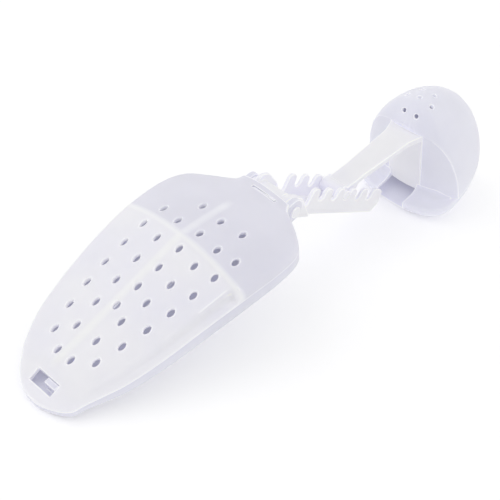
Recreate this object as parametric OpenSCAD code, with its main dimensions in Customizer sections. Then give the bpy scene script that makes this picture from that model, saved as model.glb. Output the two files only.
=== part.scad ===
// Adjustable plastic shoe tree.
// A vented forefoot is snapped together from a top shell and a sole shell. A rack hinges at
// its neck, and the heel hangs on an arm whose pin drops into one of the rack's notches.
// Every piece is drawn in the forefoot's own frame: X runs from the toe tip to the heel,
// Y goes across, and Z rises from the seam plane. stand() then sets the tree on its toe
// and on the front edge of its heel, as it stands on a table.

/* [Forefoot] */
// Length of the forefoot along the seam
fore_l = 128.5; // [127.5:0.5:129.5]
// Greatest width of the forefoot at the seam
fore_w = 69; // [66:1:72]
// Height of the instep crest above the seam
crest_h = 14.4; // [14:0.2:15.4]
// Depth of the sole below the seam
sole_d = 7.6; // [7.4:0.1:8.2]
// Wall thickness of the two forefoot shells
shell_t = 1.5; // [1.4:0.1:1.6]
// Place of the long ridge, off the middle line
ridge_y = 2.8; // [0:0.2:4]

/* [Vents] */
// Length of an oval vent
vent_l = 3.6; // [3:0.2:4.4]
// Width of an oval vent
vent_w = 2.2; // [1.8:0.2:2.6]
// Distance between the vents of one column
vent_pitch = 11; // [10.6:0.1:11.2]
// Distance between the columns at the instep
vent_spread = 11; // [10:0.2:11.4]

/* [Rack] */
// Width over the two toothed walls
rack_w = 15.6; // [15:0.2:16]
// Thickness of a toothed wall
rack_t = 1.8; // [1.6:0.1:1.9]
// Distance from notch to notch
notch_pitch = 11.06; // [10.8:0.02:11.2]
// Number of teeth on each wall
teeth = 6; // [6:1:6]
// Notch that the pin lies in, counted from the hinge
notch_used = 3; // [3:1:3]
// Angle of the rack below the seam plane
rack_angle = 41.3; // [39:0.5:42]

/* [Pins] */
// Diameter of the pin through the neck
hinge_pin_d = 4; // [3.6:0.1:4.2]
// Diameter of the pin across the arm
arm_pin_d = 4.5; // [4.3:0.1:4.6]
// Running clearance of a bore round its pin, on the radius
fit = 0.06; // [0.04:0.01:0.09]

/* [Arm] */
// Thickness of the arm's bar
bar_t = 3; // [2.6:0.1:3.2]
// Width of the bar at the heel
bar_w = 14.4; // [13.6:0.2:15]
// Width of the upright plate in the heel's front
plate_w = 19; // [18:0.5:20]

/* [Heel] */
// Half length of the heel's oval behind its middle
heel_a = 47.5; // [46:0.5:49]
// Greatest width of the heel
heel_w = 57.6; // [56:0.4:60]
// Height of the heel's dome above its seam
heel_h = 52.4; // [51:0.2:54]
// Depth of the heel's base below its seam
base_d = 8.5; // [8.2:0.1:9]
// Wall thickness of the heel
heel_t = 1.7; // [1.6:0.1:1.8]

/* [Hidden] */
$fn = 48;
eps = 0.01;
frost = [0.90, 0.91, 0.94];

// The forefoot's shape at stations along its length. Each row holds the share of the length,
// the left and right half widths as shares of the width, the height of the side wall and of
// the crest as shares of the crest height, and the depth as a share of the sole's depth.
stations = [
    [0.000, 0.205, 0.175, 0.055, 0.09, 0.45],
    [0.036, 0.218, 0.224, 0.060, 0.12, 0.50],
    [0.075, 0.261, 0.236, 0.090, 0.22, 0.56],
    [0.111, 0.318, 0.258, 0.140, 0.35, 0.62],
    [0.210, 0.405, 0.322, 0.260, 0.45, 0.78],
    [0.335, 0.466, 0.366, 0.350, 0.61, 0.90],
    [0.490, 0.521, 0.399, 0.410, 0.81, 1.00],
    [0.646, 0.552, 0.434, 0.430, 1.00, 1.00],
    [0.800, 0.540, 0.465, 0.380, 0.75, 0.92],
    [0.882, 0.476, 0.447, 0.320, 0.57, 0.86],
    [0.932, 0.345, 0.348, 0.270, 0.45, 0.82],
    [0.973, 0.220, 0.230, 0.230, 0.38, 0.78],
    [1.000, 0.200, 0.200, 0.220, 0.35, 0.76]];
toe_round = 9;
// The right side of the crown is lower at its rim and flatter than the left
right_side = 0.65;
crown_power = [2.4, 2];
// Places across the crown, from its edge to the ridge, and the sole's profile as pairs of
// inset and share of the depth
crown_steps = [1, 0.95, 0.84, 0.64, 0.36, 0];
sole_steps = [[0, 0], [0.25, 0.72], [0.8, 0.92], [2.2, 1]];
rings = 30;
blunt = 0.004;

// Toe window and rear slot, where the sole's two hooks snap into the top shell
window_x = 5;
window_l = 5.2;
window_w = 12;
window_y = 1.2;
slot_x = 124.5;
slot_y = -1.7;
slot_l = 1.2;
slot_w = 12.6;
hook_gap = 0.3;

// Hinge at the neck
hinge_x = 130.5;
hinge_z = -3;
barrel_r = 4.9;
ear_t = 2.4;
cheek_gap = 0.35;
cheek_t = 2.8;
cheek_r = 5.2;
neck_x = 124.6;
lip_gap = 0.5;

// The rack's own frame has its origin on the hinge, U along the rack and N away from its floor
rack_n0 = -barrel_r;
tip_n = 7.75;
first_notch = 27.8;
notch_w = arm_pin_d + 0.4;
pin_n = 4.3;
rack_end = 84.8;
floor_t = 1.7;
pin_u = first_notch + (notch_used - 1) * notch_pitch;
pin_x = hinge_x + pin_u * cos(rack_angle) + pin_n * sin(rack_angle);
pin_z = hinge_z - pin_u * sin(rack_angle) + pin_n * cos(rack_angle);

// The arm runs from the arm pin to the heel's front plane
plate_x = 225;
plate_t = 2.4;
flange_w = 1.2;
flange_t = 1.4;
joint_z = -39.2;
arm_side_gap = 0.3;
arm_end_w = rack_w - 2 * rack_t - 2 * arm_side_gap;
arm_end_r = 3.6;

// The heel's oval is centred behind the front plane
heel_x = 230.5;
seam_z = -76;
lobe_a = 17.6;
lobe_power = 2.4;
dome_power = 1.85;
base_inset = 3.2;
opening_w = 16.4;
// The front face is bowed, and the crown of the dome drops towards it
front_bow = 55.6;
drop_x = 234;
drop = 0.23;
heel_vent_d = 2.2;
heel_vent_pitch = 7.3;
heel_vent_x = 236;
plate_gap = 0.2;

// Standing pose: the pitch that brings toe and heel to one level, and the shift that puts
// the middle of the footprint on the origin
rest_pitch = 20.55;
stand_x = -143.81;
stand_y = -3.08;
stand_z = 3.06;

module stand() {
    translate([stand_x, stand_y, stand_z]) rotate([0, -rest_pitch, 0]) children();
}

// Places the rack's own frame in the forefoot's
module on_hinge() {
    translate([hinge_x, 0, hinge_z]) rotate([0, rack_angle, 0]) children();
}

// Extrudes an outline drawn in X and Z across the width, centred on the middle line
module across(w) {
    rotate([90, 0, 0]) linear_extrude(w, center = true) children();
}

// Value of column c of a table at x, on a smooth curve through the rows
function rise(t, i, c) =
    let (a = max(i - 1, 0), b = min(i + 1, len(t) - 1)) (t[b][c] - t[a][c]) / (t[b][0] - t[a][0]);
function row(t, x, i = 0) = i < len(t) - 2 && x > t[i + 1][0] ? row(t, x, i + 1) : i;
function smooth_at(t, x, c) =
    let (i = row(t, x), h = t[i + 1][0] - t[i][0], s = (x - t[i][0]) / h)
    t[i][c] * (1 + 2 * s) * pow(1 - s, 2) + h * rise(t, i, c) * s * pow(1 - s, 2)
    + t[i + 1][c] * s * s * (3 - 2 * s) - h * rise(t, i + 1, c) * s * s * (1 - s);
function line_at(t, x, c) =
    let (i = row(t, x), s = (x - t[i][0]) / (t[i + 1][0] - t[i][0]))
    t[i][c] * (1 - s) + t[i + 1][c] * s;

// The toe's plan closes on a quarter circle
function toe_share(s) = let (d = min(s * fore_l / toe_round, 1)) sqrt(1 - pow(1 - d, 2));
function half_w(s, side) = fore_w * smooth_at(stations, s, side > 0 ? 1 : 2) * toe_share(s);
function side_h(s, side) = crest_h * line_at(stations, s, 3) * (side > 0 ? 1 : right_side);
function crest_at(s) = crest_h * line_at(stations, s, 4);
function depth_at(s) = sole_d * line_at(stations, s, 5);

// Ridge place, drawn in towards the middle where the toe narrows
function ridge_at(s) = ridge_y * toe_share(s);
function crown_z(s, u, t, side) = let (h = side_h(s, side))
    h - t + (crest_at(s) - h) * (1 - pow(u, crown_power[side > 0 ? 0 : 1]));

// One cross-section of the top shell's outer form, or of its inside when t is the wall
function crown_side(s, t, side) =
    let (w = half_w(s, side) - t, r = ridge_at(s))
    [for (u = crown_steps) if (u > 0 || side > 0) [side * (w - side * r) * u + r, crown_z(s, u, t, side)]];
function top_ring(s, t, base) =
    let (left = crown_side(s, t, 1), right = crown_side(s, t, -1), n = len(right))
    concat([[half_w(s, 1) - t, base]], left, [for (i = [n - 1:-1:0]) right[i]],
           [[-half_w(s, -1) + t, base]]);
function sole_ring(s, t, base) =
    let (w1 = half_w(s, 1) - t, w2 = half_w(s, -1) - t, k = min(1, w1 / 9), n = len(sole_steps))
    concat([for (p = sole_steps) [w1 - p[0] * k, base - (depth_at(s) - t + base) * p[1]]],
           [for (i = [n - 1:-1:0]) let (p = sole_steps[i])
               [-w2 + p[0] * k, base - (depth_at(s) - t + base) * p[1]]]);

// Closes a row of equal rings into a solid
module loft(ring_list, flip = false) {
    n = len(ring_list[0]);
    m = len(ring_list);
    points = [for (r = ring_list) each r];
    sides = [for (i = [0:m - 2], j = [0:n - 1])
        let (a = i * n + j, b = i * n + (j + 1) % n)
        each [[a, b, a + n], [b, b + n, a + n]]];
    caps = [for (j = [1:n - 2]) each [[0, j + 1, j], [(m - 1) * n, (m - 1) * n + j, (m - 1) * n + j + 1]]];
    faces = concat(sides, caps);
    polyhedron(points, [for (f = faces) flip ? f : [f[0], f[2], f[1]]]);
}
function share_at(i) = blunt + (1 - blunt) * pow(i / rings, 1.35);
function place(s, t) = t + (fore_l - 2 * t) * s;

module top_form(t, base = 0) {
    loft([for (i = [0:rings]) let (s = share_at(i)) [for (p = top_ring(s, t, base)) [place(s, t), p[0], p[1]]]]);
}
module sole_form(t, base = 0) {
    loft([for (i = [0:rings]) let (s = share_at(i)) [for (p = sole_ring(s, t, base)) [place(s, t), p[0], p[1]]]],
         flip = true);
}

// Oval vents in five columns that fan out from the toe: one down the middle, an inner pair
// and an outer pair. Each column has its own pitch, and the fan closes towards the toe.
fan_x = 103;
function fan(x, power) = vent_spread * (1 - pow((fan_x - min(x, fan_x)) / fan_x, power));
function vent_mid(x) = min(5.2 - 0.072 * x, 2.5);
module vent(x, y) {
    translate([x, vent_mid(x) + y, 0]) linear_extrude(crest_h + eps) {
        square([vent_l - vent_w, vent_w], center = true);
        for (side = [-1, 1]) translate([side * (vent_l - vent_w) / 2, 0]) circle(d = vent_w, $fn = 16);
    }
}
module vents() {
    for (i = [0:5]) vent(99.6 - i * (vent_pitch - 0.25), -0.7);
    for (side = [-1, 1]) {
        // the inner columns leave a wider gap over the cross rib
        for (i = [0:7]) let (x = 101 - i * (vent_pitch + 0.45) - (i > 0 ? 1.5 : 0)) vent(x, side * fan(x, 2));
        for (i = [0:6]) let (x = 89.6 - i * (vent_pitch - 0.2))
            vent(x, side > 0 ? 1.92 * fan(x, 3) : -1.7 * fan(x, 3.6));
    }
}

module top_shell() {
    color(frost) stand() difference() {
        top_form(0);
        top_form(shell_t, -2);
        vents();
        translate([window_x, window_y - window_w / 2, -1]) cube([window_l, window_w, crest_h]);
        translate([slot_x, slot_y - slot_w / 2, -1]) cube([slot_l, slot_w, crest_h]);
        // room for the rack's barrel and ears under the rear lip, and for the sole's cheeks
        across(2 * (rack_w / 2 + ear_t + cheek_gap)) translate([hinge_x, hinge_z]) circle(r = barrel_r + lip_gap);
        translate([neck_x, -fore_w / 2, -1]) cube([fore_l, fore_w, 1 + 2.4]);
    }
}

// Cross ribs stand on the sole and carry the crown from below
rib_t = 1.4;
rib_x = 83;
module ribs() {
    intersection() {
        top_form(shell_t + hook_gap, -sole_d + shell_t);
        union() {
            translate([rib_x - rib_t / 2, -fore_w, -sole_d]) cube([rib_t, 2 * fore_w, sole_d + crest_h]);
            translate([18, ridge_y - rib_t / 2, -sole_d]) cube([100, rib_t, sole_d + crest_h]);
        }
    }
}
module hooks() {
    // a block with a nose fills the rear half of the toe window
    translate([window_x + window_l / 2, window_y - window_w / 2 + hook_gap, -3])
        cube([window_l / 2 - hook_gap, window_w / 2, 5.4]);
    translate([slot_x, slot_y - slot_w / 2 + hook_gap, 0]) {
        translate([0.2, 0, 0]) cube([slot_l - 0.4, slot_w - 2 * hook_gap, 5.1]);
        translate([-2, 0, -4.5]) cube([3, slot_w - 2 * hook_gap, 6.5]);
    }
}
module cheek(side) {
    inner = rack_w / 2 + ear_t + cheek_gap;
    translate([0, side * (inner + cheek_t / 2), 0]) across(cheek_t) {
        translate([hinge_x, hinge_z]) circle(r = cheek_r);
        translate([neck_x - 6, hinge_z - 2.6]) square([hinge_x - neck_x + 6, 5]);
    }
}
module sole_shell() {
    color(frost) stand() difference() {
        union() {
            difference() {
                sole_form(0);
                difference() {
                    sole_form(shell_t, 1);
                    // the sole stays solid where the cheeks join it
                    translate([neck_x - 5, -fore_w / 2, -sole_d]) cube([fore_l, fore_w, sole_d * 2]);
                }
                // the floor and rear wall stop short of the rack's barrel
                translate([neck_x, -fore_w / 2, -sole_d - 1]) cube([fore_l, fore_w, sole_d + 3]);
            }
            intersection() {
                ribs();
                translate([0, -fore_w, -sole_d]) cube([neck_x - 5, 2 * fore_w, 2 * sole_d + crest_h]);
            }
            hooks();
            for (side = [-1, 1]) cheek(side);
        }
        across(2 * fore_w) translate([hinge_x, hinge_z]) circle(d = hinge_pin_d + 0.1);
        across(2 * (rack_w / 2 + ear_t + cheek_gap)) translate([hinge_x, hinge_z]) circle(r = barrel_r + lip_gap);
    }
}

module hinge_pin() {
    len = rack_w + 2 * (ear_t + cheek_gap + cheek_t) + 1;
    color(frost) stand() translate([hinge_x, 0, hinge_z]) rotate([90, 0, 0]) {
        cylinder(d = hinge_pin_d, h = len, center = true);
        for (side = [-1, 1]) translate([0, 0, side * (len / 2 + 0.3)])
            cylinder(d = hinge_pin_d + 1.2, h = 0.8, center = true);
    }
}

// Outline of a toothed wall, in the rack's frame
module wall_outline() {
    difference() {
        union() {
            translate([0, rack_n0]) square([rack_end - 6, pin_n - rack_n0]);
            for (i = [0:teeth - 1]) {
                u = first_notch + (i - 0.5) * notch_pitch;
                w = notch_pitch - notch_w;
                translate([u - w / 2, 0]) square([w, tip_n - w / 2]);
                translate([u, tip_n - w / 2]) circle(d = w);
            }
            // rounded end of the rack
            translate([rack_end - 6, rack_n0 + 6]) circle(r = 6);
            translate([rack_end - 6, 1.1]) square([4.2, 3]);
            translate([rack_end - 6, 2.8]) circle(r = 4.2);
        }
        // notches with a round bottom, and the wide valley behind the lug
        for (i = [0:teeth - 2]) translate([first_notch + i * notch_pitch, 0]) {
            translate([0, pin_n]) circle(d = notch_w);
            translate([-notch_w / 2 + 0.1, pin_n]) square([notch_w - 0.2, 2 * tip_n]);
        }
        translate([16.6, 3.4]) circle(r = 4.5);
        translate([-10, 3.4]) square([31.1, 20]);
    }
    circle(r = barrel_r);
}
// The lug on the left wall stops the rack against the top shell's rear lip
module lug_outline() {
    hull() {
        translate([0.9, 4.7]) circle(r = 3.1, $fn = 32);
        translate([8.2, 0.4]) circle(r = 4.4, $fn = 32);
    }
}
module ear_outline() {
    circle(r = barrel_r);
    polygon([[0, barrel_r], [8, 4.4], [20.5, rack_n0], [0, rack_n0]]);
}
module rack() {
    color(frost) stand() on_hinge() difference() {
        union() {
            for (side = [-1, 1]) {
                translate([0, side * (rack_w - rack_t) / 2, 0]) across(rack_t) {
                    wall_outline();
                    if (side > 0) lug_outline();
                }
                translate([0, side * (rack_w + ear_t) / 2, 0]) across(ear_t + eps) ear_outline();
            }
            across(rack_w - eps) {
                circle(r = barrel_r);
                translate([0, rack_n0]) square([rack_end - 6, floor_t]);
            }
        }
        across(rack_w + 2 * ear_t + 1) circle(d = hinge_pin_d + 2 * fit);
    }
}

module arm_pin() {
    color(frost) stand() translate([pin_x, 0, pin_z]) rotate([90, 0, 0])
        cylinder(d = arm_pin_d, h = rack_w, center = true);
}

// The bar widens from the pin to the heel
bar_l = norm([plate_x - pin_x, joint_z - pin_z]);
bar_pitch = atan2(pin_z - joint_z, plate_x - pin_x);
module bar() {
    translate([pin_x, 0, pin_z]) rotate([0, bar_pitch, 0]) {
        translate([0, 0, -bar_t / 2]) linear_extrude(bar_t) polygon([
            [0, -arm_end_w / 2], [16, -arm_end_w / 2], [bar_l - 7, -bar_w / 2], [bar_l + 1.2, -plate_w / 2],
            [bar_l + 1.2, plate_w / 2], [bar_l - 7, bar_w / 2], [16, arm_end_w / 2], [0, arm_end_w / 2]]);
        across(arm_end_w) circle(r = arm_end_r);
        // a thin rib under the bar
        across(2) polygon([[2, 0], [bar_l + 1, 0], [bar_l + 1, -11], [bar_l - 4, -5], [12, -3]]);
    }
}
module arm() {
    color(frost) stand() difference() {
        union() {
            bar();
            intersection() {
                translate([plate_x, -plate_w / 2, seam_z]) cube([plate_t + 0.4, plate_w, joint_z - seam_z + bar_t / 2]);
                behind_front();
            }
            // flange that holds the plate behind the cap's front wall
            translate([plate_x + plate_t + 0.39, -plate_w / 2 - flange_w, seam_z + 0.5])
                cube([flange_t, plate_w + 2 * flange_w, joint_z - seam_z - 3]);
        }
        translate([pin_x, 0, pin_z]) rotate([90, 0, 0])
            cylinder(d = arm_pin_d + 2 * fit, h = 2 * rack_w, center = true);
    }
}

// Oval of the heel at one level: the dome's share of the height gives its size
turns = 40;
dome_levels = [0, 0.12, 0.26, 0.42, 0.58, 0.72, 0.84, 0.93, 0.98, 0.999];
function oval(a, b) = [for (i = [0:turns - 1]) let (w = 360 * i / turns) [a * cos(w), b * sin(w)]];
function shrink(h) = pow(1 - pow(h, dome_power), 1 / dome_power);
function drop_at(x) = 1 - drop * pow(max(drop_x - x, 0) / (drop_x - plate_x), 2);
function dropped(p) = [p[0], p[1], seam_z + (p[2] - seam_z) * (p[2] > seam_z ? drop_at(max(p[0], plate_x)) : 1)];
module dome(t, base) {
    levels = concat([[base, 0]], [for (h = dome_levels) if (h > 0) [seam_z + (heel_h - t) * h, h]]);
    loft([for (l = levels) let (k = shrink(l[1]))
        [for (p = oval((heel_a - t) * k, (heel_w / 2 - t) * k)) dropped([heel_x + p[0], p[1], l[0]])]]);
}
// Everything behind the bowed front face, set back by t
module behind_front(t = 0) {
    translate([plate_x + front_bow, 0, seam_z - heel_h]) cylinder(r = front_bow - t, h = 3 * heel_h, $fn = 160);
}
module heel_cap() {
    color(frost) stand() difference() {
        intersection() {
            dome(0, seam_z);
            behind_front();
        }
        intersection() {
            dome(heel_t, seam_z - 1);
            behind_front(heel_t);
        }
        // slot that the arm's plate and bar lie in
        translate([plate_x - 1, -plate_w / 2 - plate_gap, seam_z - 1])
            cube([plate_t + 2, plate_w + 2 * plate_gap, joint_z - seam_z + bar_t / 2 + 1 + plate_gap]);
        heel_vents();
    }
}
// Two, three and two round vents on the crown of the heel
module heel_vents() {
    for (row = [-1:1], i = [0:(row == 0 ? 2 : 1)])
        translate([heel_vent_x + row * heel_vent_pitch, (i - (row == 0 ? 1 : 0.5)) * heel_vent_pitch, seam_z + heel_h / 2])
            cylinder(d = heel_vent_d, h = heel_h);
}

// Plan of the base: the heel's oval behind, and a blunter round front
function base_plan(a, b, f) = [for (i = [0:turns - 1]) let (w = 360 * i / turns, c = cos(w), s = sin(w))
    c >= 0 ? [a * c, b * s]
           : [-f * pow(-c, 2 / lobe_power), b * sign(s) * pow(abs(s), 2 / lobe_power)]];
module base_form(t, levels) {
    loft([for (l = levels) let (e = l[1] + t)
        [for (p = base_plan(heel_a - e, heel_w / 2 - e, lobe_a - e)) [heel_x + p[0], p[1], l[0]]]], flip = true);
}
module heel_base() {
    color(frost) stand() difference() {
        base_form(0, [[seam_z, 0.3], [seam_z - 2.5, 0.3], [seam_z - 5.5, 1.4], [seam_z - base_d + 0.6, base_inset - 0.4],
                      [seam_z - base_d, base_inset + 0.6]]);
        difference() {
            base_form(heel_t, [[seam_z + 1, 0.3], [seam_z - 2.5, 0.3], [seam_z - base_d + heel_t, base_inset - 0.4]]);
            // ledge over the front lobes, out to the cap's bowed front wall
            difference() {
                translate([0, -heel_w, seam_z - heel_t]) cube([heel_x + heel_w / 4, 2 * heel_w, 2 * heel_t]);
                behind_front(heel_t);
            }
        }
        // opening that the rack's end passes through
        translate([0, -opening_w / 2, seam_z - base_d + heel_t]) cube([plate_x + 2 * heel_t, opening_w, 2 * base_d]);
    }
}

top_shell();
sole_shell();
hinge_pin();
rack();
arm_pin();
arm();
heel_cap();
heel_base();
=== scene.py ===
"""Looks of the adjustable shoe tree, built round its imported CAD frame.

Lengths are in millimetres in the forefoot's own frame: X from the toe tip to the heel, Y across,
Z up from the seam plane. stood() turns that frame to the pose in which the tree stands.
"""
import math

import bmesh
import bpy
from bpy.props import FloatProperty, FloatVectorProperty, PointerProperty
from mathutils import Matrix, Vector


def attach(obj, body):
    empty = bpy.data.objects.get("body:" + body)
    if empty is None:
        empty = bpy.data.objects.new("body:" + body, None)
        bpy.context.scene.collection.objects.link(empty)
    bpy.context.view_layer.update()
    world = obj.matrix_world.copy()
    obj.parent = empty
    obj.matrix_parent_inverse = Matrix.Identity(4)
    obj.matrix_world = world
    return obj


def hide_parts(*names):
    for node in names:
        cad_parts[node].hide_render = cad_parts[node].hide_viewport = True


bl_info = {
    "name": "Shoe Tree Builder",
    "version": (1, 0, 0),
    "blender": (4, 5, 0),
    "location": "3D View > Sidebar > Shoe Tree",
    "description": "Builds an adjustable shoe tree in frosted plastic",
    "category": "Add Mesh",
}

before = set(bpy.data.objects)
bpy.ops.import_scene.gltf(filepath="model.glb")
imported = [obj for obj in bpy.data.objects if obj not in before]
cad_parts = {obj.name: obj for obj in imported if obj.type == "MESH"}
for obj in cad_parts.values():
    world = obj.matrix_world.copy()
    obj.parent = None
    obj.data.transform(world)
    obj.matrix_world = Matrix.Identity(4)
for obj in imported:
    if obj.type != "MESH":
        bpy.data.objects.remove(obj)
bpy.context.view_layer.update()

MM = 0.001
REST_PITCH = 20.55
STAND = (-143.81, -3.08, 3.06)

# Named places shared by several pieces
HINGE = (130.5, -3.0)
RACK_ANGLE = 41.3
PIN_NOTCH = 3
FIRST_NOTCH = 27.8
PIN_N = 4.3
PLATE_X = 225.0
JOINT_Z = -39.2
SEAM_Z = -76.0
HEEL_X = 230.5
FRONT_BOW = 55.6
DROP_X = 234.0
FRONT_DROP = 0.23
NOTCH_PITCH = 11.06
NOTCHES = 5
CROSS_RIB_X = 83.3
CROSS_RIB_SLANT = 0.035
BARREL_ROOM = 5.4
CHEEK_IN = 10.5
BORE_REACH = 20

# The heel's half length, half width and height, and how full its plan and its dome are
HEEL_L = 47.5
HEEL_W = 28.8
HEEL_H = 52.4
PLAN_POWER = 1.95
DOME_POWER = 1.85
HEEL_WALL = 1.7
# strength of the heel's painted glow: emission that stands in for light passing through its walls
HEEL_GLOW = 0.17
FRONT_L = 17.6
FRONT_POWER = 2.4


def stood():
    """Matrix from the forefoot's frame in millimetres to the row frame in metres."""
    turn = Matrix.Rotation(math.radians(-REST_PITCH), 4, "Y")
    return Matrix.Scale(MM, 4) @ Matrix.Translation(STAND) @ turn


def at_hinge():
    """Matrix from the middle of the neck's pin to the row frame."""
    return stood() @ Matrix.Translation((HINGE[0], 0, HINGE[1]))


def on_rack():
    """Matrix from the rack's frame, U along it and N away from its floor, to the forefoot's."""
    return Matrix.Translation((HINGE[0], 0, HINGE[1])) @ Matrix.Rotation(math.radians(RACK_ANGLE), 4, "Y")


# Shape of the forefoot. Each row holds the share of the length, the left and right half widths
# as shares of the width, the heights of the side wall and the crest as shares of the crest
# height, and the depth as a share of the sole's depth.
STATIONS = (
    (0.000, 0.205, 0.175, 0.055, 0.09, 0.45),
    (0.036, 0.218, 0.224, 0.060, 0.12, 0.50),
    (0.075, 0.261, 0.236, 0.090, 0.22, 0.56),
    (0.111, 0.318, 0.258, 0.140, 0.35, 0.62),
    (0.210, 0.405, 0.322, 0.260, 0.45, 0.78),
    (0.335, 0.466, 0.366, 0.350, 0.61, 0.90),
    (0.490, 0.521, 0.399, 0.410, 0.81, 1.00),
    (0.646, 0.552, 0.434, 0.430, 1.00, 1.00),
    (0.800, 0.540, 0.465, 0.380, 0.75, 0.92),
    (0.882, 0.476, 0.447, 0.320, 0.57, 0.86),
    (0.932, 0.345, 0.348, 0.270, 0.45, 0.82),
    (0.973, 0.220, 0.230, 0.230, 0.38, 0.78),
    (1.000, 0.200, 0.200, 0.220, 0.35, 0.76),
)


def slope(i, column):
    a, b = max(i - 1, 0), min(i + 1, len(STATIONS) - 1)
    return (STATIONS[b][column] - STATIONS[a][column]) / (STATIONS[b][0] - STATIONS[a][0])


def along(share, column, curved=True):
    """Value of one column of the stations at a share of the length."""
    i = 0
    while i < len(STATIONS) - 2 and share > STATIONS[i + 1][0]:
        i += 1
    a, b = STATIONS[i], STATIONS[i + 1]
    h = b[0] - a[0]
    s = (share - a[0]) / h
    if not curved:
        return a[column] * (1 - s) + b[column] * s
    return (a[column] * (1 + 2 * s) * (1 - s) ** 2 + h * slope(i, column) * s * (1 - s) ** 2
            + b[column] * s * s * (3 - 2 * s) - h * slope(i + 1, column) * s * s * (1 - s))


def smoothstep(a, b, x):
    t = min(max((x - a) / (b - a), 0), 1)
    return t * t * (3 - 2 * t)


def toe_share(share, length, radius):
    d = min(share * length / radius, 1)
    return math.sqrt(max(1 - (1 - d) ** 2, 0))


# Mesh helpers

def mesh_object(name, verts, faces, matrix, smooth=40):
    """A piece from vertices and faces, with its place in its mesh."""
    mesh = bpy.data.meshes.new(name)
    mesh.from_pydata([tuple(matrix @ Vector(v)) for v in verts], [], faces)
    obj = bpy.data.objects.new(name, mesh)
    bpy.context.scene.collection.objects.link(obj)
    tidy_mesh(obj, smooth)
    return obj


def tidy_mesh(obj, smooth=40):
    """Merges doubles, points the faces outwards and shades smooth below an angle."""
    bm = bmesh.new()
    bm.from_mesh(obj.data)
    bmesh.ops.remove_doubles(bm, verts=bm.verts, dist=1e-7)
    bmesh.ops.recalc_face_normals(bm, faces=bm.faces)
    limit = math.radians(smooth)
    for face in bm.faces:
        face.smooth = True
    for edge in bm.edges:
        edge.smooth = len(edge.link_faces) == 2 and edge.calc_face_angle(0) < limit
    bm.to_mesh(obj.data)
    bm.free()


def grid_faces(rows, cols, closed=False):
    faces = []
    for i in range(rows - 1):
        for j in range(cols if closed else cols - 1):
            k = (j + 1) % cols
            faces.append((i * cols + j, i * cols + k, (i + 1) * cols + k, (i + 1) * cols + j))
    return faces


def applied(obj):
    """Turns the modifiers of a piece into plain mesh."""
    bpy.context.view_layer.update()
    graph = bpy.context.evaluated_depsgraph_get()
    mesh = bpy.data.meshes.new_from_object(obj.evaluated_get(graph))
    obj.modifiers.clear()
    obj.data = mesh
    return obj


def rounded(points, radii, steps=6):
    """Outline of a polygon whose corners are rounded, each by its own radius."""
    out = []
    n = len(points)
    for i in range(n):
        p, a, b = Vector(points[i]), Vector(points[i - 1]), Vector(points[(i + 1) % n])
        r = radii[i] if isinstance(radii, (list, tuple)) else radii
        u, v = (a - p).normalized(), (b - p).normalized()
        turn = math.pi - u.angle(v)
        if r <= 0 or turn < 0.02:
            out.append(tuple(p))
            continue
        cut = min(r * math.tan(turn / 2), (a - p).length * 0.49, (b - p).length * 0.49)
        r = cut / math.tan(turn / 2)
        centre = p + (u + v).normalized() * (r / math.cos(turn / 2))
        start = p + u * cut - centre
        side = 1 if u.cross(v) < 0 else -1
        for k in range(steps + 1):
            w = side * turn * k / steps
            out.append((centre.x + start.x * math.cos(w) - start.y * math.sin(w),
                        centre.y + start.x * math.sin(w) + start.y * math.cos(w)))
    return out


def slab(name, outline, y0, y1, matrix, bevel=0.3, smooth=40):
    """A flat wall: an outline in X and Z carried from y0 to y1, its edges bevelled."""
    n = len(outline)
    verts = [(x, y, z) for y in (y0, y1) for x, z in outline]
    faces = [(i, (i + 1) % n, n + (i + 1) % n, n + i) for i in range(n)]
    faces += [tuple(range(n - 1, -1, -1)), tuple(range(n, 2 * n))]
    mesh = bpy.data.meshes.new(name)
    mesh.from_pydata(verts, [], faces)
    bm = bmesh.new()
    bm.from_mesh(mesh)
    bmesh.ops.recalc_face_normals(bm, faces=bm.faces)
    if bevel:
        rims = [e for e in bm.edges if abs(e.verts[0].co.y - e.verts[1].co.y) < 1e-6]
        bmesh.ops.bevel(bm, geom=rims, offset=bevel, segments=2, profile=0.6, affect="EDGES",
                        clamp_overlap=True)
    bmesh.ops.triangulate(bm, faces=[f for f in bm.faces if len(f.verts) > 4])
    bm.to_mesh(mesh)
    bm.free()
    mesh.transform(matrix)
    obj = bpy.data.objects.new(name, mesh)
    bpy.context.scene.collection.objects.link(obj)
    tidy_mesh(obj, smooth)
    return obj


def block(name, low, high, matrix, bevel=0.4):
    """A bevelled block between two corners."""
    return slab(name, [(low[0], low[2]), (high[0], low[2]), (high[0], high[2]), (low[0], high[2])],
                low[1], high[1], matrix, bevel)


def cut(obj, tool, operation="DIFFERENCE"):
    """Booleans a piece with another, which is used up."""
    mod = obj.modifiers.new("cut", "BOOLEAN")
    mod.operation = operation
    mod.object = tool
    mod.solver = "MANIFOLD"
    applied(obj)
    bpy.data.objects.remove(tool, do_unlink=True)
    tidy_mesh(obj)
    return obj


# Materials

def shader_group(name, inputs, outputs):
    group = bpy.data.node_groups.new(name, "ShaderNodeTree")
    for label, kind, value in inputs:
        sock = group.interface.new_socket(name=label, in_out="INPUT", socket_type=kind)
        if value is not None:
            sock.default_value = value
    for label, kind in outputs:
        group.interface.new_socket(name=label, in_out="OUTPUT", socket_type=kind)
    return group, group.nodes.new("NodeGroupInput"), group.nodes.new("NodeGroupOutput")


def node(tree, kind, **values):
    """A node with its settings; a name that is one of its inputs sets that input."""
    made = tree.nodes.new(kind)
    for key, value in values.items():
        if key in made.inputs:
            made.inputs[key].default_value = value
        else:
            setattr(made, key, value)
    return made


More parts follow.
